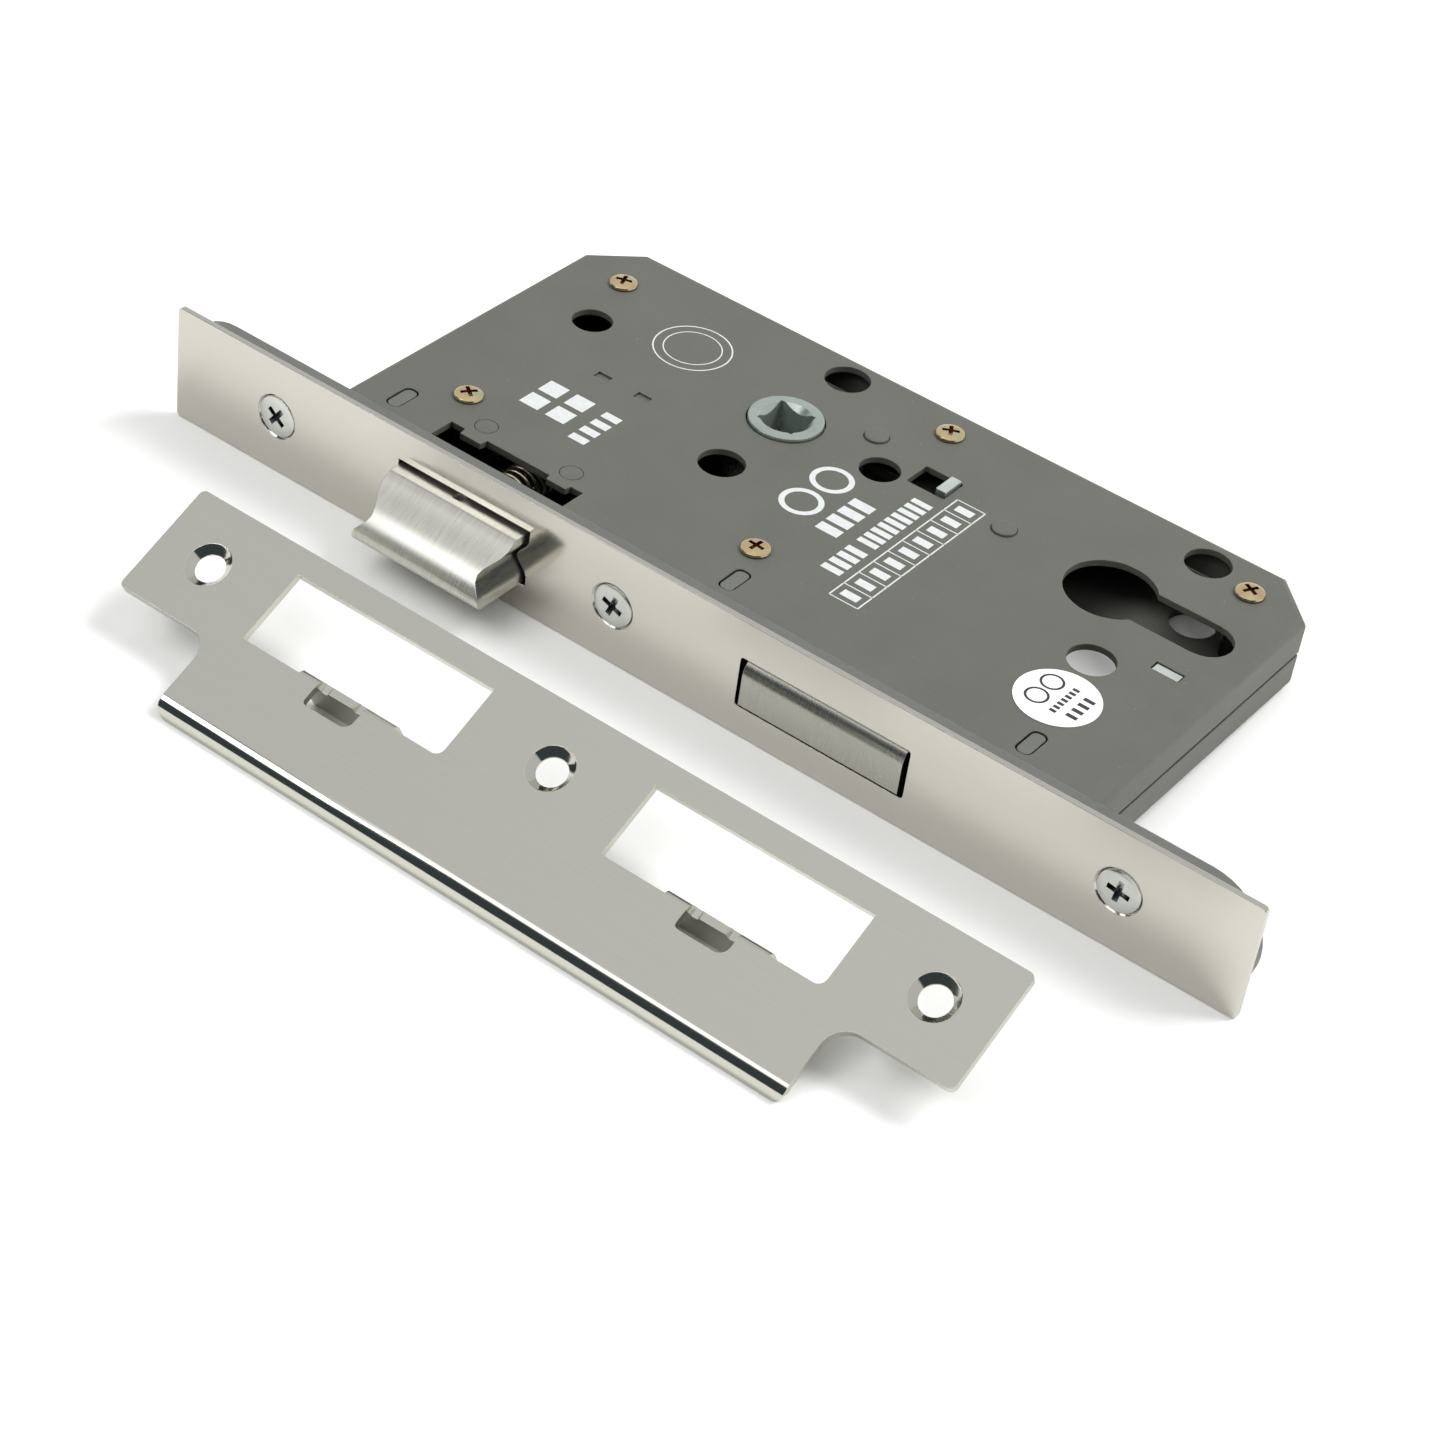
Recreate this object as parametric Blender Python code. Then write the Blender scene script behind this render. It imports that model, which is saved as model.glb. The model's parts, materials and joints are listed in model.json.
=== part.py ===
"""Mortise sash lock with a separate strike plate, modelled lying on a table.

Lock frame while building (millimetres, baked to metres at the end):
x runs along the forend with the follower at 0 and the latch end negative,
y runs into the case with the outer face of the forend at 0, z is the case thickness.
The finished lock lies on the lower edge of its forend and the rear edge of its case,
with the origin at the centre of the forend's outer face.
"""
import math
import bpy
import bmesh
from mathutils import Matrix, Vector

for old in list(bpy.data.objects):
    bpy.data.objects.remove(old, do_unlink=True)

MM = 0.001
SMALL = 0.00001

# ---- driving dimensions, millimetres -------------------------------------
FOREND_LENGTH = 235.0
FOREND_WIDTH = 24.0
FOREND_CENTRE_X = 20.0
FACEPLATE_THICK = 1.1
INNER_THICK = 2.1
INNER_WIDTH = 23.8
PLATE_GAP = 0.1

CASE_TOP_X = -63.0
CASE_BOTTOM_X = 102.2
CASE_FRONT_Y = 3.3
CASE_REAR_Y = 87.2
CASE_HALF = 7.5
CASE_SHEET = 1.3
CASE_CHAMFER = 9.0
CASE_BEND = 1.6
SEAM_GAP = 0.4

BACKSET = 60.0
CYLINDER_X = 72.0
CYLINDER_R = 8.75
CYLINDER_SLOT = 10.4
CYLINDER_END_X = 97.0
SPINDLE = 8.0
HUB_R = 7.3
HUB_HALF = 8.25

BOLT_HOLES = ((0.0, 40.0, 4.5), (0.0, 80.0, 4.5), (80.5, 40.0, 4.5), (80.5, 80.0, 4.5),
              (-46.2, 59.7, 4.0), (21.6, 59.9, 4.0))
CASE_SCREWS = ((-50.2, 74.4), (-45.6, 22.5), (20.4, 23.0), (24.4, 79.0), (90.7, 77.4))
FACE_SCREWS = (-72.3, 7.2, 112.4)
RIVETS = ((-37.0, 17.4), (-17.0, 17.4))
CHANGE_PIN = (15.0, 68.3)
LEVER_PIN = (48.3, 61.2)
LUGS_X = (-53.7, 23.1, 85.3)
LUG_SIZE = (2.7, 10.1, 16.5)

LATCH_X = (-42.4, -12.9)
LATCH_Z = (-5.8, 4.9)
LATCH_THROW = 12.0
LATCH_REAR_Y = 4.8
SCOOP_DEPTH = 2.4
SPRING_X = -27.5
SPRING_Z = -0.4
SPRING_R = 3.6
SPRING_WIRE = 0.42
SPRING_SPAN = (5.3, 26.1)

BOLT_X = (35.8, 69.4)
BOLT_Z = (-5.6, 3.9)
BOLT_THROW = 20.0

STRIKE_LENGTH = 177.0
STRIKE_TAB = 23.1
STRIKE_THICK = 1.5
STRIKE_LIP = (21.8, 155.2)
STRIKE_BEND_START = 35.3
STRIKE_BEND_R = 3.6
STRIKE_BEND_ANGLE = 75.0
STRIKE_TILT = 23.2
STRIKE_X = -61.7
STRIKE_REAR_Y = -29.4
TANG_DROP = 10.45

# the lock leans back until the forend edge and the rear case edge both touch the table
REST_ANGLE = math.atan2(FOREND_WIDTH / 2 - CASE_HALF, CASE_REAR_Y - FACEPLATE_THICK)

parts = bpy.data.collections.new("mortise_lock_set")
cutters = bpy.data.collections.new("cutters")
bpy.context.scene.collection.children.link(parts)
bpy.context.scene.collection.children.link(cutters)


# ---- helpers ---------------------------------------------------------------
def material(name, colour, rough, metal):
    m = bpy.data.materials.get(name)
    if m is None:
        m = bpy.data.materials.new(name)
        m.use_nodes = True
        b = m.node_tree.nodes["Principled BSDF"]
        b.inputs["Base Color"].default_value = (colour[0], colour[1], colour[2], 1.0)
        b.inputs["Roughness"].default_value = rough
        b.inputs["Metallic"].default_value = metal
    return m


def add(mesh, name, group):
    ob = bpy.data.objects.new(name, mesh)
    group.objects.link(ob)
    if group is cutters:
        ob.hide_render = True
        ob.display_type = "WIRE"
    return ob


def clean(mesh, merge=SMALL):
    bm = bmesh.new()
    bm.from_mesh(mesh)
    bmesh.ops.remove_doubles(bm, verts=bm.verts, dist=merge)
    bmesh.ops.recalc_face_normals(bm, faces=bm.faces)
    bm.to_mesh(mesh)
    bm.free()


AXES = {
    "XY": Matrix(((1, 0, 0, 0), (0, 1, 0, 0), (0, 0, 1, 0), (0, 0, 0, 1))),
    "XZ": Matrix(((1, 0, 0, 0), (0, 0, -1, 0), (0, 1, 0, 0), (0, 0, 0, 1))),
    "YZ": Matrix(((0, 0, 1, 0), (1, 0, 0, 0), (0, 1, 0, 0), (0, 0, 0, 1))),
}


def plate(name, loops, lo, hi, plane="XY", group=None):
    """Flat plate cut from closed outlines; the thickness runs from lo to hi."""
    if plane == "XZ":
        lo, hi = -hi, -lo
    curve = bpy.data.curves.new(name, "CURVE")
    curve.dimensions = "2D"
    curve.fill_mode = "BOTH"
    curve.extrude = (hi - lo) * MM / 2
    for loop in loops:
        spline = curve.splines.new("POLY")
        spline.points.add(len(loop) - 1)
        for point, (u, v) in zip(spline.points, loop):
            point.co = (u * MM, v * MM, 0.0, 1.0)
        spline.use_cyclic_u = True
    temp = bpy.data.objects.new(name + "_curve", curve)
    bpy.context.scene.collection.objects.link(temp)
    graph = bpy.context.evaluated_depsgraph_get()
    graph.update()
    mesh = bpy.data.meshes.new_from_object(temp.evaluated_get(graph))
    bpy.data.objects.remove(temp, do_unlink=True)
    bpy.data.curves.remove(curve)
    mesh.transform(Matrix.Translation((0, 0, (lo + hi) * MM / 2)))
    mesh.transform(AXES[plane])
    clean(mesh)
    mesh.name = name
    return add(mesh, name, group or parts)


def box(name, x, y, z, group=None, soft=0.0):
    bm = bmesh.new()
    size = Matrix.Diagonal(((x[1] - x[0]) * MM, (y[1] - y[0]) * MM, (z[1] - z[0]) * MM, 1.0))
    place = Matrix.Translation((sum(x) * MM / 2, sum(y) * MM / 2, sum(z) * MM / 2))
    bmesh.ops.create_cube(bm, size=1.0, matrix=place @ size)
    if soft:
        bmesh.ops.bevel(bm, geom=bm.edges[:], offset=soft * MM, segments=2, profile=0.5,
                        affect="EDGES")
    mesh = bpy.data.meshes.new(name)
    bm.to_mesh(mesh)
    bm.free()
    return add(mesh, name, group or parts)


def turned(name, profile, centre=(0.0, 0.0, 0.0), axis="Z", steps=24, group=None):
    """Solid of revolution; the profile lists (radius, height) from the axis back to the axis."""
    bm = bmesh.new()
    verts = [bm.verts.new((r * MM, 0.0, h * MM)) for r, h in profile]
    edges = [bm.edges.new((a, b)) for a, b in zip(verts, verts[1:])]
    bmesh.ops.spin(bm, geom=verts + edges, cent=(0, 0, 0), axis=(0, 0, 1),
                   angle=2 * math.pi, steps=steps, use_merge=False)
    bmesh.ops.remove_doubles(bm, verts=bm.verts, dist=SMALL)
    bmesh.ops.recalc_face_normals(bm, faces=bm.faces)
    mesh = bpy.data.meshes.new(name)
    bm.to_mesh(mesh)
    bm.free()
    if axis == "Y":
        mesh.transform(Matrix.Rotation(math.radians(90), 4, "X"))
    mesh.transform(Matrix.Translation(Vector(centre) * MM))
    return add(mesh, name, group or parts)


def tube_path(name, points, radius, resolution=2, group=None):
    curve = bpy.data.curves.new(name, "CURVE")
    curve.dimensions = "3D"
    curve.bevel_depth = radius * MM
    curve.bevel_resolution = resolution
    curve.use_fill_caps = True
    spline = curve.splines.new("POLY")
    spline.points.add(len(points) - 1)
    for point, p in zip(spline.points, points):
        point.co = (p[0] * MM, p[1] * MM, p[2] * MM, 1.0)
    temp = bpy.data.objects.new(name + "_curve", curve)
    bpy.context.scene.collection.objects.link(temp)
    graph = bpy.context.evaluated_depsgraph_get()
    graph.update()
    mesh = bpy.data.meshes.new_from_object(temp.evaluated_get(graph))
    bpy.data.objects.remove(temp, do_unlink=True)
    bpy.data.curves.remove(curve)
    clean(mesh, 0.000002)
    mesh.name = name
    return add(mesh, name, group or parts)


def cut(ob, cutter, kind="DIFFERENCE"):
    mod = ob.modifiers.new(kind.lower(), "BOOLEAN")
    mod.operation = kind
    mod.solver = "EXACT"
    mod.object = cutter
    return mod


def bake(ob):
    """Turn the modifier stack into the mesh so later steps can bevel or measure it."""
    graph = bpy.context.evaluated_depsgraph_get()
    graph.update()
    mesh = bpy.data.meshes.new_from_object(ob.evaluated_get(graph))
    ob.modifiers.clear()
    ob.data = mesh
    clean(mesh, 0.000002)


def break_edges(ob, y, width, skip=()):
    """Small chamfer on the edges in the plane y, leaving out circles listed as x, radius."""
    bm = bmesh.new()
    bm.from_mesh(ob.data)
    rim = []
    for e in bm.edges:
        if any(abs(v.co.y - y * MM) > 2e-6 for v in e.verts) or len(e.link_faces) != 2:
            continue
        if e.calc_face_angle(0.0) < 0.5:
            continue
        mid = (e.verts[0].co + e.verts[1].co) / 2
        if any(math.hypot(mid.x - x * MM, mid.z) < r * MM for x, r in skip):
            continue
        rim.append(e)
    bmesh.ops.bevel(bm, geom=rim, offset=width * MM, segments=2, profile=0.5, affect="EDGES")
    bm.to_mesh(ob.data)
    bm.free()


def circle(cx, cy, r, n=32, start=0.0):
    return [(cx + r * math.cos(start + 2 * math.pi * i / n),
             cy + r * math.sin(start + 2 * math.pi * i / n)) for i in range(n)]


def rect(x0, x1, y0, y1):
    return [(x0, y0), (x1, y0), (x1, y1), (x0, y1)]


def rounded(x0, x1, y0, y1, r, n=4):
    out = []
    for cx, cy, a0 in ((x1 - r, y0 + r, -90), (x1 - r, y1 - r, 0), (x0 + r, y1 - r, 90),
                       (x0 + r, y0 + r, 180)):
        for i in range(n + 1):
            a = math.radians(a0 + 90.0 * i / n)
            out.append((cx + r * math.cos(a), cy + r * math.sin(a)))
    return out


def arc(cx, cy, r, a0, a1, n):
    return [(cx + r * math.cos(math.radians(a0 + (a1 - a0) * i / n)),
             cy + r * math.sin(math.radians(a0 + (a1 - a0) * i / n))) for i in range(n + 1)]


def keyhole(grow=0.0):
    """Profile-cylinder opening: round barrel with the narrower body below it."""
    r = CYLINDER_R + grow
    half = CYLINDER_SLOT / 2 + grow
    meet = math.degrees(math.asin(half / r))
    end = CYLINDER_END_X + grow - half
    return (arc(CYLINDER_X, BACKSET, r, meet, 360 - meet, 28)
            + arc(end, BACKSET, half, -90, 90, 10))


def cross(size, width):
    a = size / 2
    b = width / 2
    return [(-b, -a), (b, -a), (b, -b), (a, -b), (a, b), (b, b), (b, a), (-b, a), (-b, b),
            (-a, b), (-a, -b), (-b, -b)]


def paint(ob, mat):
    ob.data.materials.clear()
    ob.data.materials.append(mat)
    return ob


case_paint = material("case_paint", (0.17, 0.17, 0.155), 0.5, 0.25)
cover_paint = material("cover_paint", (0.175, 0.175, 0.16), 0.5, 0.25)
forend_paint = material("inner_forend_paint", (0.19, 0.19, 0.175), 0.45, 0.3)
satin_steel = material("faceplate_steel", (0.62, 0.60, 0.56), 0.28, 1.0)
bright_screw = material("faceplate_screw_zinc", (0.72, 0.72, 0.70), 0.2, 1.0)
yellow_zinc = material("case_screw_zinc", (0.70, 0.55, 0.28), 0.25, 1.0)
dull_zinc = material("pressing_zinc", (0.55, 0.55, 0.55), 0.4, 1.0)
follower_zinc = material("follower_casting", (0.60, 0.61, 0.62), 0.35, 1.0)
latch_steel = material("latch_steel", (0.66, 0.64, 0.60), 0.3, 1.0)
bolt_steel = material("bolt_steel", (0.64, 0.62, 0.58), 0.32, 1.0)
spring_steel = material("spring_steel", (0.38, 0.36, 0.30), 0.35, 1.0)
strike_steel = material("strike_steel", (0.66, 0.66, 0.62), 0.18, 1.0)
sticker_paper = material("sticker_paper", (0.85, 0.86, 0.88), 0.55, 0.0)

# ---- case: two folded trays meeting at mid thickness -------------------------
def case_outline(inset=0.0, front=CASE_FRONT_Y):
    a = CASE_TOP_X + inset
    b = CASE_BOTTOM_X - inset
    r = CASE_REAR_Y - inset
    c = CASE_CHAMFER - inset * 0.59
    return [(a, front), (b, front), (b, r - c), (b - c, r), (a + c, r), (a, r - c)]


def bend_edges(ob, z, width):
    """Round the perimeter edges lying in the plane z, as the folded sheet does."""
    bm = bmesh.new()
    bm.from_mesh(ob.data)
    rim = [e for e in bm.edges
           if all(abs(v.co.z - z * MM) < 1e-6 for v in e.verts)
           and len(e.link_faces) == 2 and e.calc_face_angle(0.0) > 0.5
           and not all(abs(v.co.y - CASE_FRONT_Y * MM) < 1e-6 for v in e.verts)]
    bmesh.ops.bevel(bm, geom=rim, offset=width * MM, segments=5, profile=0.5, affect="EDGES")
    bm.to_mesh(ob.data)
    bm.free()


through = [circle(x, y, r, 28) for x, y, r in BOLT_HOLES]
through.append(circle(0.0, BACKSET, HUB_R + 0.25, 48))
through.append(keyhole())
screw_holes = [circle(x, y, 1.6, 12) for x, y in CASE_SCREWS]
pin_holes = [circle(x, y, r, 24) for group, r in ((RIVETS, 2.25), ((CHANGE_PIN, LEVER_PIN), 2.5))
             for x, y in group]
lug_slots = [rounded(x - LUG_SIZE[0] / 2 - 0.35, x + LUG_SIZE[0] / 2 + 0.35,
                     LUG_SIZE[1] - 0.35, LUG_SIZE[2] + 0.3, 1.4, 4) for x in LUGS_X]
latch_window = [(-42.4, 3.0), (-11.6, 3.0), (-11.6, 14.0), (-14.3, 14.0), (-14.6, 12.7),
                (-19.0, 12.7), (-19.3, 14.0), (-33.9, 14.0), (-34.2, 12.3), (-38.9, 12.3),
                (-39.2, 14.0), (-42.4, 14.0)]
change_window = rounded(27.0, 35.3, 60.7, 67.4, 0.5, 3)
tab_slot = rect(88.9, 94.7, 45.7, 48.1)

case_cover = plate("case_cover", [case_outline()], SEAM_GAP, CASE_HALF)
bend_edges(case_cover, CASE_HALF, CASE_BEND)
cover_room = plate("cut_cover_room", [case_outline(CASE_SHEET, 0.0)], -3.0,
                   CASE_HALF - CASE_SHEET, group=cutters)
cut(case_cover, cover_room)
cover_holes = plate("cut_cover_holes", through + screw_holes + pin_holes + lug_slots
                    + [latch_window, change_window, tab_slot], 3.0, 12.0, group=cutters)
cut(case_cover, cover_holes)
marks = plate("cut_cover_marks", [rect(-34.2, -31.0, 45.0, 47.0), rect(-24.8, -21.6, 45.1, 47.1)],
              CASE_HALF - 0.45, 12.0, group=cutters)
cut(case_cover, marks)
paint(case_cover, cover_paint)

case_body = plate("case_body", [case_outline()], -CASE_HALF, -SEAM_GAP)
bend_edges(case_body, -CASE_HALF, CASE_BEND)
body_room = plate("cut_body_room", [case_outline(CASE_SHEET, 0.0)],
                  -CASE_HALF + CASE_SHEET, 3.0, group=cutters)
cut(case_body, body_room)
body_holes = plate("cut_body_holes", through + lug_slots, -12.0, -3.0, group=cutters)
cut(case_body, body_holes)
paint(case_body, case_paint)

# ---- forend: painted inner plate with staked lugs, bright faceplate over it ----
fx0 = FOREND_CENTRE_X - FOREND_LENGTH / 2
fx1 = FOREND_CENTRE_X + FOREND_LENGTH / 2


def latch_hole(clear, play=0.0):
    """Outline in x and z of the latch, with a shallow groove down each end."""
    x0, x1 = LATCH_X[0] - clear, LATCH_X[1] + clear + play
    z0, z1 = LATCH_Z[0] - clear, LATCH_Z[1] + clear + play
    mid = -0.4
    half = 3.8
    groove = [(SCOOP_DEPTH * (0.5 + 0.5 * math.cos(math.pi * t / 4)), mid + half * t / 4)
              for t in range(-4, 5)]
    right = [(x1 - g, z) for g, z in groove]
    left = [(x0 + g, z) for g, z in reversed(groove)]
    return [(x0, z0), (x1, z0)] + right + [(x1, z1), (x0, z1)] + left


bolt_hole = rounded(34.9, 70.4, BOLT_Z[0] - 0.3, BOLT_Z[1] + 0.5, 0.6, 3)
inner_loops = [rounded(fx0, fx1, -INNER_WIDTH / 2, INNER_WIDTH / 2, INNER_WIDTH / 2 - 0.05, 10),
               latch_hole(0.4, 0.5), rounded(34.7, 70.6, BOLT_Z[0] - 0.5, BOLT_Z[1] + 0.7, 0.6, 3)]
inner_loops += [circle(x, 0.0, 3.75, 24) for x in FACE_SCREWS]
inner_forend = plate("inner_forend", inner_loops, FACEPLATE_THICK + PLATE_GAP,
                     FACEPLATE_THICK + INNER_THICK, plane="XZ")
for i, x in enumerate(LUGS_X):
    arm = plate("lug_arm_%d" % i, [rect(3.0, LUG_SIZE[2], -5.6, 5.6)], x - LUG_SIZE[0] / 2,
                x + LUG_SIZE[0] / 2, plane="YZ", group=cutters)
    cap = plate("lug_cap_%d" % i, [rounded(x - LUG_SIZE[0] / 2, x + LUG_SIZE[0] / 2, LUG_SIZE[1],
                                           LUG_SIZE[2], 1.1, 4)], 5.0, 7.3, group=cutters)
    cut(inner_forend, arm, "UNION")
    cut(inner_forend, cap, "UNION")
paint(inner_forend, forend_paint)

faceplate = plate("faceplate", [rounded(fx0, fx1, -FOREND_WIDTH / 2, FOREND_WIDTH / 2, 1.0, 3),
                                latch_hole(0.35, 0.45), bolt_hole],
                  0.0, FACEPLATE_THICK, plane="XZ")
for i, x in enumerate(FACE_SCREWS):
    sink = turned("cut_face_sink_%d" % i, [(0, -3.0), (3.75, -3.0), (3.75, -0.95), (4.6, -0.1),
                                          (4.6, 2.0), (0, 2.0)],
                  (x, 0.0, 0.0), axis="Y", steps=28, group=cutters)
    cut(faceplate, sink)
paint(faceplate, satin_steel)

names = ("top", "middle", "bottom")
for name, x, turn in zip(names, FACE_SCREWS, (38.0, 20.0, 8.0)):
    screw = turned("faceplate_screw_" + name,
                   [(0, -8.2), (2.1, -8.2), (2.4, -7.6), (2.4, -2.2), (4.02, -0.62), (4.2, -0.36),
                    (4.12, -0.12), (3.7, 0.02), (3.0, 0.07), (0, 0.12)], (x, 0.0, 0.0), axis="Y", steps=28)
    recess = plate("cut_cross_" + name, [cross(4.4, 1.1)], -1.0, 2.1, plane="XZ", group=cutters)
    recess.data.transform(Matrix.Rotation(math.radians(turn), 4, "Y"))
    recess.data.transform(Matrix.Translation((x * MM, -0.4 * MM, 0)))
    cut(screw, recess)
    paint(screw, bright_screw)

# ---- case screws and the pillars they pull down on ----------------------------
for i, (x, y) in enumerate(CASE_SCREWS):
    top = CASE_HALF + 0.06
    screw = turned("case_screw_%d" % (i + 1),
                   [(0, 0.2), (1.3, 0.2), (1.35, 0.6), (1.35, top), (2.7, top), (2.86, top + 0.3),
                    (2.72, top + 0.62), (2.3, top + 0.9), (1.6, top + 1.07), (0, top + 1.15)],
                   (x, y, 0), steps=24)
    recess = plate("cut_case_cross_%d" % (i + 1), [cross(3.3, 0.8)], top + 0.1, top + 3,
                   group=cutters)
    recess.data.transform(Matrix.Rotation(math.radians(20 + 33 * i), 4, "Z"))
    recess.data.transform(Matrix.Translation((x * MM, y * MM, 0)))
    cut(screw, recess)
    paint(screw, yellow_zinc)
    pillar = plate("case_pillar_%d" % (i + 1), [circle(x, y, 2.9, 16), circle(x, y, 1.6, 12)],
                   -CASE_HALF + CASE_SHEET + 0.1, CASE_HALF - CASE_SHEET - 0.1)
    paint(pillar, dull_zinc)

# ---- latch ---------------------------------------------------------------------
latch_side = [(LATCH_REAR_Y, LATCH_Z[0]), (LATCH_REAR_Y, LATCH_Z[1]), (-2.4, 4.9), (-3.1, 4.65),
              (-4.2, 3.8), (-5.6, 2.75), (-7.1, 1.75), (-8.4, 0.9), (-9.4, 0.1), (-10.3, -0.8),
              (-11.1, -1.75), (-11.75, -2.7), (-12.15, -3.5), (-12.3, -4.3), (-12.15, -5.1),
              (-11.9, -5.5), (-11.4, LATCH_Z[0])]
latch_head = plate("latch_head", [latch_side], LATCH_X[0], LATCH_X[1], plane="YZ")
cross_shape = plate("cut_latch_section", [latch_hole(0.0)], -30.0, 30.0, plane="XZ", group=cutters)
cut(latch_head, cross_shape, "INTERSECT")
latch_nick = box("cut_latch_nick", (-29.2, -27.3), (-1.0, 9.0), (LATCH_Z[1] - 0.5, 6.0),
                 group=cutters)
cut(latch_head, latch_nick)
paint(latch_head, latch_steel)

latch_tail = plate("latch_tail", [[(-38.5, 5.1), (-31.5, 5.1), (-31.5, 30.0), (-24.0, 37.0),
                                   (-24.0, 68.0), (-31.0, 68.0), (-31.0, 40.0), (-38.5, 33.0)]],
                   -5.6, -3.2)
hook = box("tail_hook", (-31.0, -24.0), (63.6, 68.0), (-3.6, 1.9), group=cutters)
cut(latch_tail, hook, "UNION")
paint(latch_tail, dull_zinc)

turns = 10.0
spring_points = []
for i in range(int(turns * 12) + 1):
    a = 2 * math.pi * i / 12
    along = SPRING_SPAN[0] + (SPRING_SPAN[1] - SPRING_SPAN[0]) * i / (turns * 12)
    spring_points.append((SPRING_X + SPRING_R * math.cos(a), along,
                          SPRING_Z + SPRING_R * math.sin(a)))
paint(tube_path("latch_spring", spring_points, SPRING_WIRE), spring_steel)

latch_guide = plate("latch_guide", [[(15.0, 5.2), (28.0, 5.2), (28.0, -2.9), (26.7, -2.9),
                                     (26.7, 4.3), (15.0, 4.3)]], -38.5, -15.5, plane="YZ")
latch_guide.data.transform(Matrix.Translation((0, 0, 0.85 * MM)))
paint(latch_guide, dull_zinc)
for name, (x, y) in zip("ab", RIVETS):
    pin = turned("latch_rivet_" + name, [(0, 6.25), (2.15, 6.25), (2.15, 7.48), (1.95, 7.6),
                                         (0, 7.64)], (x, y, 0), steps=24)
    paint(pin, cover_paint)

# ---- follower and its return spring ------------------------------------------
follower = turned("follower_hub", [(0, -HUB_HALF), (HUB_R - 0.45, -HUB_HALF),
                                   (HUB_R - 0.12, -HUB_HALF + 0.12), (HUB_R, -HUB_HALF + 0.45),
                                   (HUB_R, HUB_HALF - 0.45), (HUB_R - 0.12, HUB_HALF - 0.12),
                                   (HUB_R - 0.45, HUB_HALF), (0, HUB_HALF)],
                  (0, BACKSET, 0), steps=48)
square = plate("cut_spindle", [rect(-SPINDLE / 2, SPINDLE / 2, BACKSET - SPINDLE / 2,
                                    BACKSET + SPINDLE / 2)], -12.0, 12.0, group=cutters)
lead = turned("cut_lead_in", [(0, 7.1), (4.0, 7.1), (5.2, 8.3), (5.2, 9.0), (0, 9.0)],
              (0, BACKSET, 0), steps=48, group=cutters)
cut(follower, square)
cut(follower, lead)
paint(follower, follower_zinc)

arm_half = 3.0
ring_r = 11.5
meet = math.degrees(math.asin(arm_half / ring_r))
arm_loop = arc(0, BACKSET, ring_r, 180 + meet, 540 - meet, 24) + [(-28.5, BACKSET + arm_half),
                                                                    (-28.5, BACKSET - arm_half)]
follower_arm = plate("follower_arm", [arm_loop, circle(0, BACKSET, HUB_R + 0.15, 36)], -2.0, 2.0)
paint(follower_arm, follower_zinc)

pull_points = []
for i in range(10 * 10 + 1):
    a = 2 * math.pi * i / 10
    pull_points.append((-16.5 + 2.1 * math.cos(a), 33.6 + 22.4 * i / 100, 2.1 * math.sin(a)))
paint(tube_path("follower_return_spring", pull_points, 0.4), spring_steel)
spring_post = turned("spring_post", [(0, -6.1), (1.6, -6.1), (1.6, 6.1), (0, 6.1)],
                     (-16.5, 31.2, 0), steps=16)
paint(spring_post, dull_zinc)

# ---- deadbolt, its tail and the throw lever ---------------------------------------
bolt_side = [(30.0, BOLT_Z[0]), (30.0, BOLT_Z[1]), (2.3, BOLT_Z[1])]
for i in range(1, 9):
    a = math.radians(90.0 * i / 8)
    bolt_side.append((2.3 - 2.5 * math.sin(a), BOLT_Z[1] - 3.4 * (1 - math.cos(a))))
bolt_side += [(-0.2, BOLT_Z[0] + 0.25), (0.05, BOLT_Z[0])]
deadbolt = plate("deadbolt_head", [bolt_side], BOLT_X[0], BOLT_X[1], plane="YZ")
paint(deadbolt, bolt_steel)
bolt_tail = plate("deadbolt_tail", [[(66.0, 30.3), (66.0, 36.0), (37.0, 36.1),
                                     (34.5, 40.0), (34.5, 74.0), (27.5, 74.0), (27.5, 34.0),
                                     (31.0, 30.3)]], -5.5, -3.3)
peg = turned("tail_peg", [(0, -4.0), (1.5, -4.0), (1.5, -0.6), (0, -0.6)], (31.0, 71.2, 0),
             steps=16, group=cutters)
cut(bolt_tail, peg, "UNION")
paint(bolt_tail, dull_zinc)

lever_angle = math.degrees(math.atan2(10.0, -17.3))
fork = [(21.0, -2.1), (21.0, -4.6), (5.0, -4.6), (-2.0, -5.0), (-5.0, -3.2), (-12.0, -3.0),
        (-12.0, 2.0), (-5.0, 3.2), (-2.0, 5.0), (5.0, 4.6), (21.0, 4.6), (21.0, 2.1), (13.5, 2.1),
        (13.5, -2.1)]
lever = plate("throw_lever", [fork, circle(0, 0, 1.8, 14)], -2.9, -0.8)
lever.data.transform(Matrix.Rotation(math.radians(lever_angle), 4, "Z"))
lever.data.transform(Matrix.Translation((LEVER_PIN[0] * MM, LEVER_PIN[1] * MM, 0)))
paint(lever, dull_zinc)

leaf = []
for i in range(13):
    t = i / 12
    leaf.append((72.9 - 2.7 * math.sin(math.pi * t), 12.0 + 24.0 * t))
leaf_loop = leaf + [(x + 0.6, y) for x, y in reversed(leaf)]
paint(plate("bolt_detent_leaf", [leaf_loop], -4.0, 3.0), spring_steel)
paint(plate("detent_bracket", [[(74.0, 10.5), (75.2, 10.5), (75.2, 34.5), (74.0, 34.5)]],
            -6.0, 6.0), dull_zinc)

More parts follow.
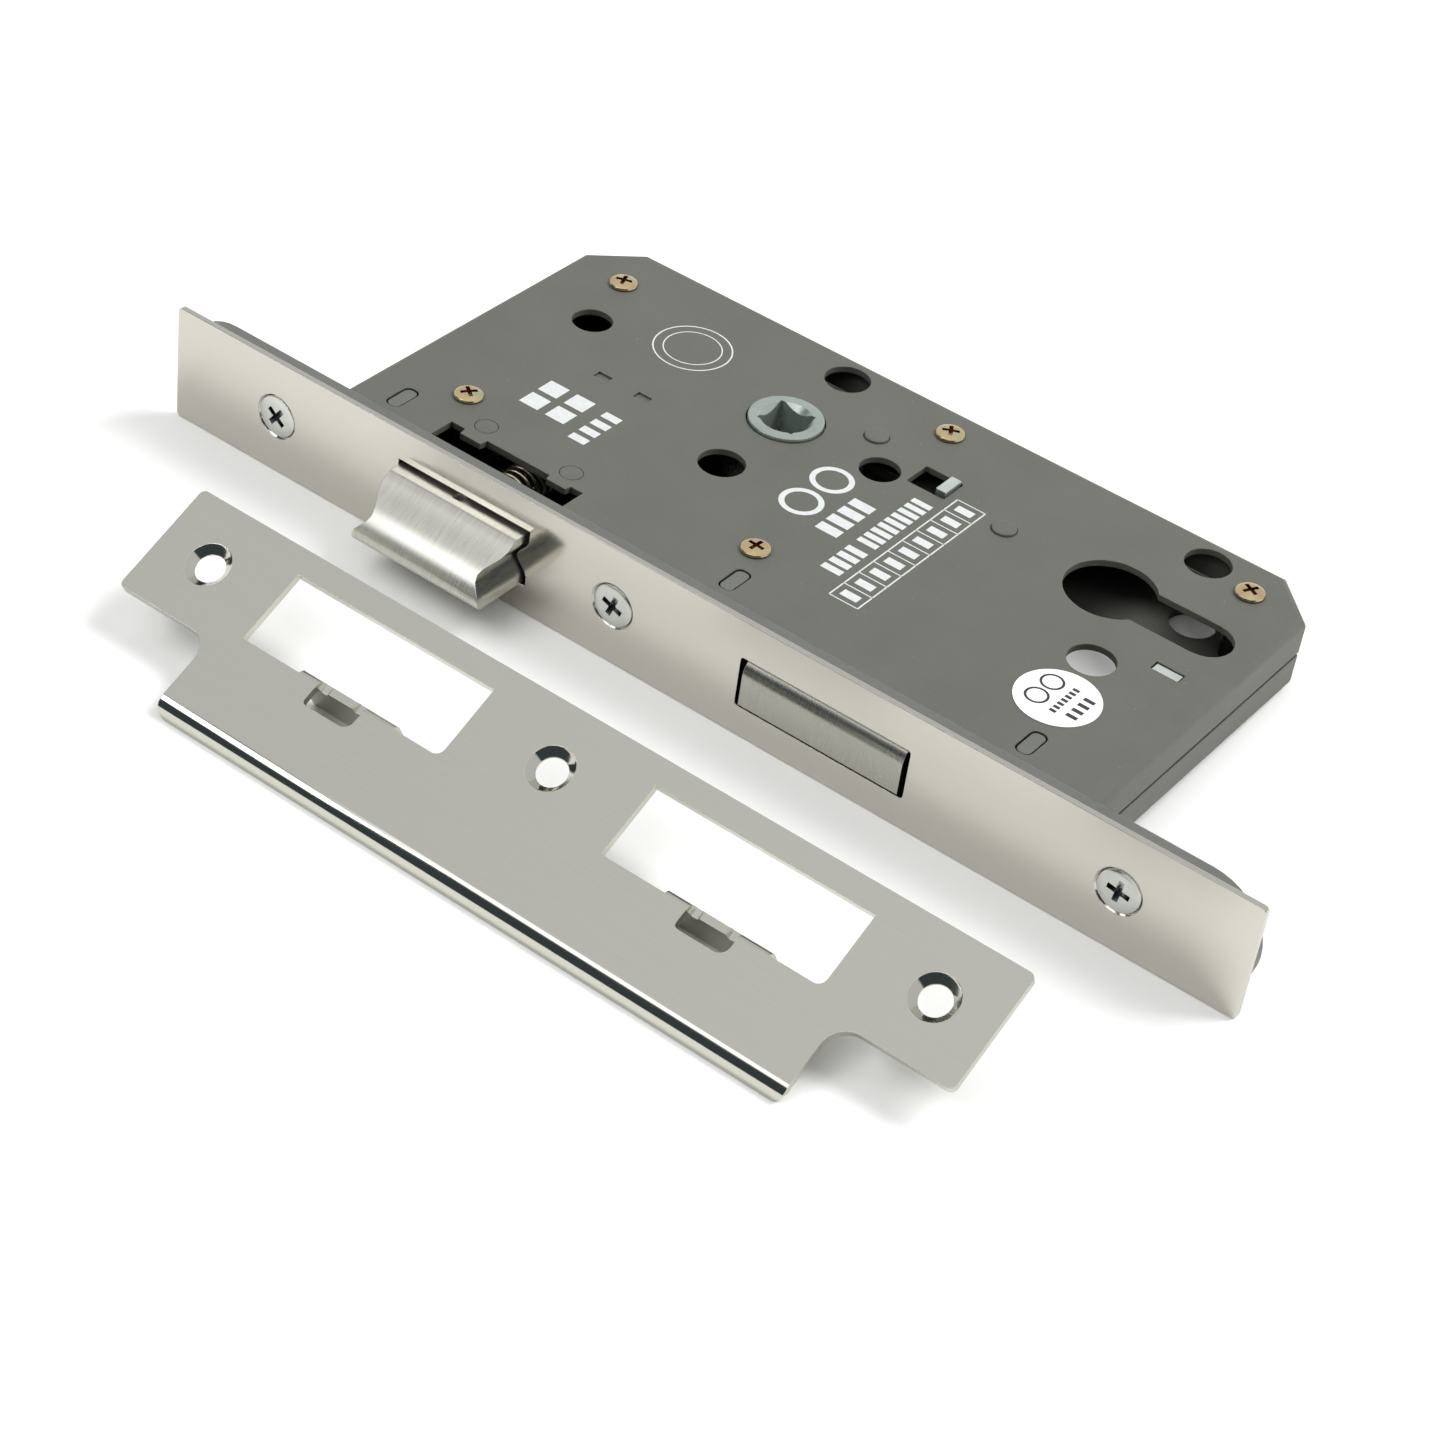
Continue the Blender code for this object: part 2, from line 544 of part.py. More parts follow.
# ---- change slide and the fixed pins ------------------------------------------------
slot = rounded(13.1, 21.9, 66.5, 70.1, 1.75, 5)
change = plate("change_slide", [[(12.0, 64.8), (30.0, 64.8), (30.0, 61.5), (36.5, 61.5),
                                 (38.0, 65.0), (60.0, 65.1), (60.0, 71.6), (12.0, 71.6)], slot],
               2.3, 4.3)
lug = box("change_lug", (32.8, 35.0), (61.7, 67.0), (3.9, 8.4), group=cutters, soft=0.15)
cut(change, lug, "UNION")
paint(change, dull_zinc)

for name, (x, y) in (("change_guide_pin", CHANGE_PIN), ("lever_pivot_pin", LEVER_PIN)):
    pin = turned(name, [(0, -6.1), (1.5, -6.1), (1.5, 6.25), (2.4, 6.25), (2.4, 7.7), (2.28, 7.9),
                        (2.0, 7.98), (0, 8.0)], (x, y, 0), steps=28)
    paint(pin, cover_paint)

stop = plate("cylinder_stop_bracket", [[(36.5, -6.0), (47.9, -6.0), (47.9, 7.3), (45.9, 7.3),
                                        (45.9, -4.8), (36.5, -4.8)]], 89.2, 94.4, plane="YZ")
paint(stop, dull_zinc)

sticker = turned("check_sticker", [(0, CASE_HALF + 0.04), (7.8, CASE_HALF + 0.04),
                                   (7.8, CASE_HALF + 0.16), (0, CASE_HALF + 0.16)],
                 (82.0, 26.6, 0), steps=48)
paint(sticker, sticker_paper)

# ---- strike plate, built flat: x along it, y toward the lip, z up ---------------------
u0, u1 = STRIKE_LIP
centre_u = STRIKE_LENGTH / 2
fillet = 4.6
bend = math.radians(STRIKE_BEND_ANGLE)
edge = STRIKE_BEND_START + bend * STRIKE_BEND_R
outline = (arc(1.2, STRIKE_TAB - 1.2, 1.2, 180, 90, 4)
           + arc(u0 - fillet, STRIKE_TAB + fillet, fillet, -90, 0, 10)
           + arc(u0 + 3.0, edge - 3.0, 3.0, 180, 90, 6)
           + arc(u1 - 3.0, edge - 3.0, 3.0, 90, 0, 6)
           + arc(u1 + fillet, STRIKE_TAB + fillet, fillet, 180, 270, 10)
           + arc(STRIKE_LENGTH - 1.2, STRIKE_TAB - 1.2, 1.2, 90, 0, 4)
           + arc(STRIKE_LENGTH - 1.2, 1.2, 1.2, 0, -90, 4) + arc(1.2, 1.2, 1.2, 270, 180, 4))


def strike_slot(a, b, c, d, r=1.6):
    """Rectangular opening whose far front corner is rounded."""
    return [(a, d), (a, c), (b, c)] + arc(b - r, d - r, r, 0, 90, 4)


strike = plate("strike_plate", [outline, strike_slot(26.6, 70.9, 4.8, 19.8),
                                strike_slot(105.4, 149.7, 4.9, 19.7)], -STRIKE_THICK, 0.0)


def bend_lip(ob, start, radius, steps):
    """Curl everything beyond the start line downward round the given outside radius."""
    bm = bmesh.new()
    bm.from_mesh(ob.data)
    for i in range(steps):
        at = (start + bend * radius * i / steps) * MM
        bmesh.ops.bisect_plane(bm, geom=bm.verts[:] + bm.edges[:] + bm.faces[:], dist=1e-7,
                               plane_co=(0, at, 0), plane_no=(0, 1, 0))
    for v in bm.verts:
        if v.co.y > start * MM + 1e-7:
            angle = (v.co.y / MM - start) / radius
            reach = radius + v.co.z / MM
            v.co.y = (start + reach * math.sin(angle)) * MM
            v.co.z = (reach * math.cos(angle) - radius) * MM
    bm.to_mesh(ob.data)
    bm.free()


bend_lip(strike, STRIKE_BEND_START, STRIKE_BEND_R, 10)
for i, (a, b, mid, half, end) in enumerate(((39.6, 60.7, 49.05, 5.15, 24.2),
                                            (118.5, 139.5, 128.35, 5.05, 23.8))):
    side = ([(21.0, -0.75), (20.4, -0.04)] + arc(20.2, -1.8, 1.7, 95, 180, 8)
            + [(18.5, -TANG_DROP), (20.1, -TANG_DROP - 0.2), (20.2, -1.9), (21.0, -1.2)])
    tang = plate("strike_tang_%d" % i, [side], a, b, plane="YZ", group=cutters)
    cut(strike, tang, "UNION")
    pocket = ([(mid - half, 20.26), (mid + half, 20.26)]
              + arc(mid + half - 2.0, end - 2.0, 2.0, 0, 90, 5)
              + arc(mid - half + 0.9, end - 0.9, 0.9, 90, 180, 4))
    notch = plate("cut_tang_notch_%d" % i, [pocket], -2.5, 2.0, group=cutters)
    cut(strike, notch)
    crest = [(mid - half, 2.0), (mid - half + 0.1, -0.9), (mid - half + 0.7, -1.65),
             (mid - 3.2, -1.7), (mid - 2.95, -1.1), (mid - 2.5, -0.75), (mid + 2.3, -0.7),
             (mid + 2.75, -1.0), (mid + 3.1, -1.7), (mid + half - 0.7, -1.65),
             (mid + half - 0.1, -0.9), (mid + half, 2.0)]
    relief = plate("cut_tang_crest_%d" % i, [crest], 17.0, 20.3, plane="XZ", group=cutters)
    cut(strike, relief)
for i, u in enumerate((11.3, centre_u, STRIKE_LENGTH - 11.3)):
    sink = turned("cut_strike_sink_%d" % i, [(0, -3.0), (2.85, -3.0), (2.85, -1.3), (3.2, -1.0),
                                            (4.1, -0.25), (4.35, 0.0), (4.35, 2.0), (0, 2.0)],
                  (u, 11.6, 0), steps=36, group=cutters)
    cut(strike, sink)
paint(strike, strike_steel)


# ---- put the lock on the table and the strike plate in front of it -----------------------
bpy.context.view_layer.update()
for ob in list(parts.objects):
    if ob.modifiers:
        bake(ob)
break_edges(faceplate, 0.0, 0.16, [(x, 5.2) for x in FACE_SCREWS])

joint_at = {"follower_hub": (0, BACKSET, 0), "follower_arm": (0, BACKSET, 0),
            "throw_lever": (LEVER_PIN[0], LEVER_PIN[1], 0)}
low = FACEPLATE_THICK * math.sin(REST_ANGLE) * MM
lean = (Matrix.Translation((0, 0, low)) @ Matrix.Rotation(-REST_ANGLE, 4, "X")
        @ Matrix.Translation((0, 0, FOREND_WIDTH / 2 * MM)))
centre = lean @ Vector((FOREND_CENTRE_X * MM, 0, 0))
lean = Matrix.Translation(-centre) @ lean
flip = Matrix(((1, 0, 0, 0), (0, -1, 0, 0), (0, 0, 1, 0), (0, 0, 0, 1)))
for ob in parts.objects:
    if ob is strike:
        ob.data.transform(flip)
        ob.data.flip_normals()
        ob.data.transform(Matrix.Rotation(math.radians(STRIKE_TILT), 4, "X"))
        floor = min(v.co.z for v in ob.data.vertices)
        ob.data.transform(Matrix.Translation((STRIKE_X * MM, STRIKE_REAR_Y * MM, -floor)))
        ob.data.transform(Matrix.Translation(-centre))
    else:
        ob.data.transform(lean)
    at = joint_at.get(ob.name)
    if at:
        spot = lean @ (Vector(at) * MM)
        ob.data.transform(Matrix.Translation(-spot))
        ob.location = spot
    ob.data.update()
    ob.data.shade_smooth()
    ob.data.set_sharp_from_angle(angle=math.radians(32))
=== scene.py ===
"""Looks for the mortise sash lock and its strike plate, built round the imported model."""
import json
import math
import bpy
import bmesh
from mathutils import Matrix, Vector


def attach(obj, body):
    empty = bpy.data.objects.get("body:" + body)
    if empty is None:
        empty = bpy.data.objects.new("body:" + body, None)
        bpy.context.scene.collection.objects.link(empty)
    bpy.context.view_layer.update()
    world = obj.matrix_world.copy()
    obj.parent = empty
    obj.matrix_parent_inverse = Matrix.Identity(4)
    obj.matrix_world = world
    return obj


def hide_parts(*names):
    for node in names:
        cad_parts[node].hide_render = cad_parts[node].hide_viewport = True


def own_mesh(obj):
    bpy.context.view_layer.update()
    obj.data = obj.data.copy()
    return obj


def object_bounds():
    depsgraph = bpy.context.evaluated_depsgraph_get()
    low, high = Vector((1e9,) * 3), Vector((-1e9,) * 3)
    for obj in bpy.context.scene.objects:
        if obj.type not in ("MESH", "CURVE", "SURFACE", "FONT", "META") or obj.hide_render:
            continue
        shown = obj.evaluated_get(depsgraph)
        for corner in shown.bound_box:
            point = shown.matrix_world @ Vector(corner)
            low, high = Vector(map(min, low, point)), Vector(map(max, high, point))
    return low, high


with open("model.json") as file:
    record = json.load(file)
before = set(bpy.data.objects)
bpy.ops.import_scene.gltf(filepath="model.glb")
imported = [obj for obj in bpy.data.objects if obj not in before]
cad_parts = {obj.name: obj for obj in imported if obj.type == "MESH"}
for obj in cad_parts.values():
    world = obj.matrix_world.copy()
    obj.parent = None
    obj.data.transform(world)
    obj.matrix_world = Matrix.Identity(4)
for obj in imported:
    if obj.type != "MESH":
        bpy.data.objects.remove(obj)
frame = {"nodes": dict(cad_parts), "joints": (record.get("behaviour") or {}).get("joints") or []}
cad_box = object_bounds()
nodes = frame["nodes"]
joints = {j["name"]: j for j in frame["joints"]}
MM = 0.001

# ---- lock frame: x along the forend, y into the case, z out of the cover -----------------------
INTO = Vector(joints["latch_retract"]["axis"])
UP = Vector(joints["throw_lever_turn"]["axis"])
ALONG = Vector((1.0, 0.0, 0.0))
FOLLOWER_X = -20.0
CASE_HALF = 7.5


def at(x, y, z):
    """Point in the row frame of a lock point in millimetres, x measured from the follower."""
    return (ALONG * (x + FOLLOWER_X) + INTO * y + UP * z) * MM


def add(name, data):
    """New object, linked to the scene."""
    ob = bpy.data.objects.new(name, data)
    bpy.context.scene.collection.objects.link(ob)
    return ob


# ---- camera: a long lens, from the right and above ---------------------------------------------
camera = add("camera", bpy.data.cameras.new("camera"))
camera.location = (0.24991, -0.36567, 0.37133)
camera.rotation_euler = (0.846498, -0.086758, 0.651702)
camera.data.sensor_width = 36.0
camera.data.lens = 83.136
camera.data.clip_start = 0.01
camera.data.clip_end = 50.0
bpy.context.scene.camera = camera
bpy.context.scene.view_settings.view_transform = "Standard"
bpy.context.scene.view_settings.look = "None"

# ---- shader helpers ----------------------------------------------------------------------------
NOISE_SPREAD = (0.3, 0.7)       # where nearly all values of a noise lie
GRAIN_SPREAD = (0.25, 0.75)     # the same for stretched grain, which is rougher
EDGE_TURN = (0.995, 0.9)        # cosine between soft and flat normal: off an edge, on an edge


def scaled(colour, factor):
    return [min(1.0, c * factor) for c in colour]


class Nodes:
    """Short calls that add nodes to a tree and join them."""

    def __init__(self, tree):
        self.tree = tree

    def node(self, kind, **values):
        made = self.tree.nodes.new(kind)
        for key, value in values.items():
            setattr(made, key, value)
        return made

    def feed(self, socket, value):
        """Link a socket to another one, or give it a plain value."""
        if isinstance(value, bpy.types.NodeSocket):
            self.tree.links.new(value, socket)
        elif isinstance(value, (tuple, list)) and len(value) == 3 and socket.type == "RGBA":
            socket.default_value = (*value, 1.0)
        else:
            socket.default_value = value

    def math(self, operation, a, b=0.0, clamp=False):
        made = self.node("ShaderNodeMath", operation=operation, use_clamp=clamp)
        self.feed(made.inputs[0], a)
        self.feed(made.inputs[1], b)
        return made.outputs[0]

    def times(self, a, b):
        return self.math("MULTIPLY", a, b)

    def span(self, value, low, high, out_low=0.0, out_high=1.0, curve="LINEAR"):
        """Low to high becomes out_low to out_high, held at both ends."""
        made = self.node("ShaderNodeMapRange", clamp=True, interpolation_type=curve)
        self.feed(made.inputs["Value"], value)
        for name, limit in (("From Min", low), ("From Max", high), ("To Min", out_low),
                            ("To Max", out_high)):
            made.inputs[name].default_value = limit
        return made.outputs["Result"]

    def mix(self, factor, a, b):
        made = self.node("ShaderNodeMix", data_type="RGBA")
        self.feed(made.inputs[0], factor)
        self.feed(made.inputs[6], a)
        self.feed(made.inputs[7], b)
        return made.outputs[2]

    def ramp(self, value, stops):
        """Colour ramp through stops of (position, colour)."""
        made = self.node("ShaderNodeValToRGB")
        self.feed(made.inputs["Fac"], value)
        elements = made.color_ramp.elements
        for element, (where, colour) in ((elements[0], stops[0]), (elements[1], stops[-1])):
            element.position = where
            element.color = (*colour, 1)
        for where, colour in stops[1:-1]:
            elements.new(where).color = (*colour, 1)
        return made.outputs["Color"]


class Shader(Nodes):
    """A node material in object coordinates."""

    def __init__(self, name):
        self.material = bpy.data.materials.new(name)
        self.material.use_nodes = True
        super().__init__(self.material.node_tree)
        self.bsdf = self.tree.nodes["Principled BSDF"]
        self.place = self.node("ShaderNodeTexCoord").outputs["Object"]

    def set(self, name, value):
        self.feed(self.bsdf.inputs[name], value)

    def stretch(self, scale):
        made = self.node("ShaderNodeMapping")
        self.feed(made.inputs["Vector"], self.place)
        made.inputs["Scale"].default_value = scale
        return made.outputs["Vector"]

    def noise(self, scale, detail=3.0, vector=None, rough=0.5):
        made = self.node("ShaderNodeTexNoise")
        self.feed(made.inputs["Vector"], vector or self.place)
        made.inputs["Scale"].default_value = scale
        made.inputs["Detail"].default_value = detail
        made.inputs["Roughness"].default_value = rough
        return made.outputs["Fac"]

    def spread(self, noise, out_low=0.0, out_high=1.0):
        """A noise stretched over the whole range from out_low to out_high."""
        return self.span(noise, *NOISE_SPREAD, out_low, out_high)

    def bump(self, height, distance, strength=1.0, normal=None):
        made = self.node("ShaderNodeBump")
        made.inputs["Strength"].default_value = strength
        made.inputs["Distance"].default_value = distance
        self.feed(made.inputs["Height"], height)
        if normal is not None:
            self.feed(made.inputs["Normal"], normal)
        return made.outputs["Normal"]

    def height(self):
        """Millimetres above the middle plane of the case."""
        dot = self.node("ShaderNodeVectorMath", operation="DOT_PRODUCT")
        self.feed(dot.inputs[0], self.place)
        dot.inputs[1].default_value = tuple(UP / MM)
        return dot.outputs["Value"]

    def open_sky(self, reach, low, high, own=False):
        """Mask for painted shade: 1 out in the open, 0 down in holes and gaps."""
        made = self.node("ShaderNodeAmbientOcclusion", samples=8, only_local=own)
        made.inputs["Distance"].default_value = reach
        return self.span(made.outputs["AO"], low, high)

    def rounded(self, radius):
        """Normal that runs softly over edges, and a mask that is 1 on them."""
        soft = self.node("ShaderNodeBevel", samples=6)
        soft.inputs["Radius"].default_value = radius
        flat = self.node("ShaderNodeNewGeometry").outputs["Normal"]
        dot = self.node("ShaderNodeVectorMath", operation="DOT_PRODUCT")
        self.feed(dot.inputs[0], soft.outputs["Normal"])
        self.feed(dot.inputs[1], flat)
        return soft.outputs["Normal"], self.span(dot.outputs["Value"], *EDGE_TURN)


# ---- looks -------------------------------------------------------------------------------------
PAINT_ROUNDING = 0.0003
STEEL_ROUNDING = 0.00018
ZINC_ROUNDING = 0.0002
CASE_SHADE = (0.016, 0.22, 0.5)         # reach and span of the darkness inside the case
HEAD_SHADE = (0.0012, 0.45, 0.85)       # the same inside a plated screw recess
GOLD_SHADE = (0.0012, 0.4, 0.85)        # the same inside a passivated one
DEEP_BELOW, DEEP_ABOVE = 4.4, 5.4       # height under which a pressing is in the dark
WORN_PAINT = (0.34, 0.34, 0.32)
DUST = (0.55, 0.55, 0.53)
GOLD_TONES = ((0.0, (0.74, 0.50, 0.40)), (0.45, (0.78, 0.62, 0.33)),
              (0.75, (0.80, 0.68, 0.42)), (1.0, (0.62, 0.66, 0.46)))
# painted highlight on the edges of the yellow zinc screw heads
GOLD_EDGE_HIGHLIGHT = (0.95, 0.88, 0.7)
# coppery dark tone in the cross recess: partly the plating's own tint, partly painted shade
GOLD_RECESS_TINT_AND_SHADE = (0.30, 0.13, 0.06)


def painted(name, colour, rough=0.46):
    """Stoved enamel on steel: fine orange peel, slight mottling, dust, thin paint on edges, and
    painted shade in holes, gaps and inside the case.
    """
    s = Shader(name)
    soft, edge = s.rounded(PAINT_ROUNDING)
    mottle = s.noise(90.0, 4.0)
    grain = s.noise(2600.0, 2.0)
    dust = s.span(s.noise(1500.0, 1.0, rough=0.9), 0.77, 0.82)
    base = s.mix(s.spread(mottle), scaled(colour, 0.94), scaled(colour, 1.06))
    base = s.mix(s.times(s.spread(grain), 0.22), base, scaled(colour, 1.35))
    base = s.mix(s.times(dust, 0.3), base, DUST)
    chipped = s.times(edge, s.span(s.noise(420.0, 4.0), 0.45, 0.62))
    base = s.mix(s.times(chipped, 0.3), base, WORN_PAINT)
    # painted shade: the enamel goes down to a tenth of its colour in holes, gaps and inside the
    # case
    base = s.mix(s.open_sky(*CASE_SHADE), scaled(colour, 0.1), base)
    s.set("Base Color", base)
    s.set("Roughness", s.spread(mottle, rough - 0.03, rough + 0.05))
    s.set("Specular IOR Level", 0.5)
    s.set("Normal", s.bump(grain, 0.00003, 0.5, soft))
    return s.material


def brushed(name, colour, rough, lines, depth, strength, shade, smudge=0.05):
    """Metal with grain and a painted highlight on its edges: lines is the mapping scale, high
    across the grain and low along it.
    """
    s = Shader(name)
    soft, edge = s.rounded(STEEL_ROUNDING)
    grain = s.noise(1.0, 3.0, s.stretch(lines), 0.65)
    base = s.mix(s.span(grain, *GRAIN_SPREAD), scaled(colour, 1 - shade),
                 scaled(colour, 1 + shade))
    # painted highlight: the metal's colour made a quarter brighter along its edges
    s.set("Base Color", s.mix(s.times(edge, 0.5), base, scaled(colour, 1.25)))
    s.set("Metallic", 1.0)
    wear = s.math("ADD", s.spread(s.noise(38.0, 3.0), -smudge, smudge),
                  s.span(grain, *GRAIN_SPREAD, -0.04, 0.04))
    s.set("Roughness", s.math("ADD", wear, rough, clamp=True))
    s.set("Normal", s.bump(grain, depth, strength, soft))
    return s.material


def cast(name, colour, rough, depth=0.00002, metal=1.0, recess_shade=None, low=None):
    """Plated or cast metal with a fine irregular skin and a painted highlight on its edges: the
    recess tone is painted shade inside recesses, and low is the painted shade on what lies deep
    in the case."""
    s = Shader(name)
    soft, edge = s.rounded(ZINC_ROUNDING)
    skin = s.noise(1400.0, 3.0, rough=0.6)
    cloud = s.noise(160.0, 3.0)
    base = s.mix(s.spread(cloud), scaled(colour, 0.9), scaled(colour, 1.08))
    # painted highlight: the colour made brighter along every edge
    base = s.mix(s.times(edge, 0.6), base, scaled(colour, 1.3))
    if recess_shade is not None:
        # painted shade: a dark tone inside recesses, by the occlusion mask
        base = s.mix(s.open_sky(*HEAD_SHADE, own=True), recess_shade, base)
    if low is not None:
        # painted shade: what lies deep in the case turns near black by height
        base = s.mix(s.span(s.height(), DEEP_BELOW, DEEP_ABOVE), low, base)
    s.set("Base Color", base)
    s.set("Metallic", metal)
    s.set("Roughness", s.spread(cloud, rough - 0.05, rough + 0.07))
    s.set("Normal", s.bump(skin, depth, 0.4, soft))
    return s.material


def passivated(name):
    """Yellow zinc plating: gold shifting to pink and pale green in patches, with a painted
    highlight on edges and a coppery dark tone in recesses that is partly the plating's own tint
    and partly painted shade.
    """
    s = Shader(name)
    soft, edge = s.rounded(ZINC_ROUNDING)
    gold = s.ramp(s.spread(s.noise(260.0, 2.0)), GOLD_TONES)
    # painted highlight along the edges
    gold = s.mix(s.times(edge, 0.4), gold, GOLD_EDGE_HIGHLIGHT)
    # coppery tint and painted shade inside the recess, by the occlusion mask
    s.set("Base Color", s.mix(s.open_sky(*GOLD_SHADE, own=True), GOLD_RECESS_TINT_AND_SHADE, gold))
    s.set("Metallic", 1.0)
    s.set("Roughness", s.spread(s.noise(900.0, 2.0), 0.14, 0.26))
    s.set("Normal", s.bump(s.noise(1100.0, 2.0), 0.00004, 0.5, soft))
    return s.material


def paper(name):
    """Coated label paper with a faint fibre."""
    s = Shader(name)
    fibre = s.noise(3000.0, 4.0, rough=0.7)
    s.set("Base Color", s.mix(s.spread(s.noise(220.0, 2.0)), (0.86, 0.87, 0.88),
                              (0.93, 0.94, 0.95)))
    s.set("Roughness", s.spread(fibre, 0.42, 0.58))
    s.set("Normal", s.bump(fibre, 0.00001, 0.4))
    return s.material


FINE, LONG = 5200.0, 60.0
looks = {
    "case_paint": painted("case_enamel", (0.107, 0.110, 0.096)),
    "cover_paint": painted("cover_enamel", (0.101, 0.104, 0.090)),
    "inner_forend_paint": painted("inner_forend_enamel", (0.115, 0.12, 0.11), 0.4),
    "faceplate_steel": brushed("faceplate_satin_steel", (0.72, 0.70, 0.65), 0.13,
                               (LONG, FINE, FINE), depth=0.000002, strength=0.2, shade=0.025,
                               smudge=0.03),
    # faceplate screws: painted shade, a dark blue-grey, inside their cross recesses
    "faceplate_screw_zinc": cast("bright_zinc", (0.70, 0.72, 0.70), 0.16,
                                 recess_shade=(0.12, 0.14, 0.15)),
    "case_screw_zinc": passivated("yellow_zinc"),
    # pressings: painted shade, near black, on the parts that lie deep in the case
    "pressing_zinc": cast("dull_zinc", (0.78, 0.83, 0.80), 0.26, metal=0.85,
                          low=(0.05, 0.05, 0.045)),
    "follower_casting": cast("follower_zinc_casting", (0.46, 0.52, 0.485), 0.26,
                             depth=0.00006, metal=0.75),
    "latch_steel": brushed("latch_brushed_steel", (0.68, 0.675, 0.625), 0.32,
                           (FINE, LONG * 3, LONG * 3), depth=0.000006, strength=0.5,
                           shade=0.13),
    "bolt_steel": brushed("bolt_brushed_steel", (0.50, 0.50, 0.455), 0.26,
                          (FINE, LONG, LONG), depth=0.0000015, strength=0.2, shade=0.06),
    "spring_steel": cast("spring_wire", (0.56, 0.52, 0.40), 0.2),
    "strike_steel": brushed("strike_polished_steel", (0.69, 0.69, 0.625), 0.09,
                            (LONG, FINE, FINE), depth=0.0000015, strength=0.15, shade=0.02,
                            smudge=0.02),
    "sticker_paper": paper("label_paper"),
}

# ---- carried-over nodes: seams welded, edges shaded by angle, material from its slot -----------
SMOOTH_ANGLE = math.radians(31.0)
FLAT_ANGLE = math.radians(0.4)
WELD_GAP = 0.000002


def smooth_by_angle(limit):
    """Geometry nodes that shade smooth, apart from edges that turn more than the limit."""
    group = bpy.data.node_groups.new("smooth_by_angle", "GeometryNodeTree")
    for way in ("INPUT", "OUTPUT"):
        group.interface.new_socket("Geometry", in_out=way, socket_type="NodeSocketGeometry")
    g = Nodes(group)
    faces = g.node("GeometryNodeSetShadeSmooth")
    edges = g.node("GeometryNodeSetShadeSmooth", domain="EDGE")
    over = g.node("FunctionNodeCompare", operation="GREATER_THAN")
    g.feed(faces.inputs["Geometry"], g.node("NodeGroupInput").outputs[0])
    g.feed(edges.inputs["Geometry"], faces.outputs[0])
    g.feed(edges.inputs["Shade Smooth"], False)
    g.feed(over.inputs["A"], g.node("GeometryNodeInputMeshEdgeAngle").outputs["Unsigned Angle"])
    g.feed(over.inputs["B"], limit)
    g.feed(edges.inputs["Selection"], over.outputs[0])
    g.feed(g.node("NodeGroupOutput").inputs[0], edges.outputs[0])
    return group


by_angle = smooth_by_angle(SMOOTH_ANGLE)

for node in nodes.values():
    for spare in ("custom_normal", "sharp_edge"):
        if spare in node.data.attributes:
            node.data.attributes.remove(node.data.attributes[spare])
    weld = node.modifiers.new("weld", "WELD")
    weld.merge_threshold = WELD_GAP
    flat = node.modifiers.new("flat_faces", "DECIMATE")
    flat.decimate_type = "DISSOLVE"
    flat.angle_limit = FLAT_ANGLE
    shade = node.modifiers.new("shade", "NODES")
    shade.node_group = by_angle
    even = node.modifiers.new("even_normals", "WEIGHTED_NORMAL")
    even.mode = "FACE_AREA"
    even.weight = 100
    even.keep_sharp = True
    for slot in node.material_slots:
        slot.material = looks[slot.material.name]

# ---- latch spring: a fine closed-end coil in place of the model's spring, held by the case -----
SPRING_AT = (-27.5, -0.4)
SPRING_SPAN = (5.3, 26.1)
SPRING_RADIUS = 3.6
SPRING_TURNS = 10.0
SPRING_WIRE = 0.42
END_CLOSING = 0.035
STEPS_A_TURN = 40


def coil(name):
    """Round wire wound about the direction into the case, its end turns lying closer."""
    curve = bpy.data.curves.new(name, "CURVE")
    curve.dimensions = "3D"
    curve.bevel_depth = SPRING_WIRE * MM
    curve.bevel_resolution = 4
    curve.use_fill_caps = True
    count = int(SPRING_TURNS * STEPS_A_TURN)
    spline = curve.splines.new("POLY")
    spline.points.add(count)
    front, back = SPRING_SPAN
    for i, point in enumerate(spline.points):
        t = i / count
        a = 2 * math.pi * SPRING_TURNS * t
        along = t + END_CLOSING * math.sin(2 * math.pi * t)
        point.co = (*at(SPRING_AT[0] + SPRING_RADIUS * math.cos(a),
                        front + (back - front) * (1 - along),
                        SPRING_AT[1] + SPRING_RADIUS * math.sin(a)), 1.0)
    temp = add(name + "_curve", curve)
    graph = bpy.context.evaluated_depsgraph_get()
    graph.update()
    mesh = bpy.data.meshes.new_from_object(temp.evaluated_get(graph))
    bpy.data.objects.remove(temp, do_unlink=True)
    mesh.shade_smooth()
    mesh.materials.clear()
    mesh.materials.append(looks["spring_steel"])
    return add(name, mesh)


latch_coil = coil("latch_spring_coil")
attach(latch_coil, "lock_case")
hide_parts("latch_spring")
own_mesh(latch_coil)

# ---- print on the cover and on the label: plain bars and rings, no lettering -------------------
INK_THICKNESS = 0.012
LABEL_TOP = 0.16
RING_STEPS = 72
CIRCLE = [(math.cos(2 * math.pi * i / RING_STEPS), math.sin(2 * math.pi * i / RING_STEPS))
          for i in range(RING_STEPS)]


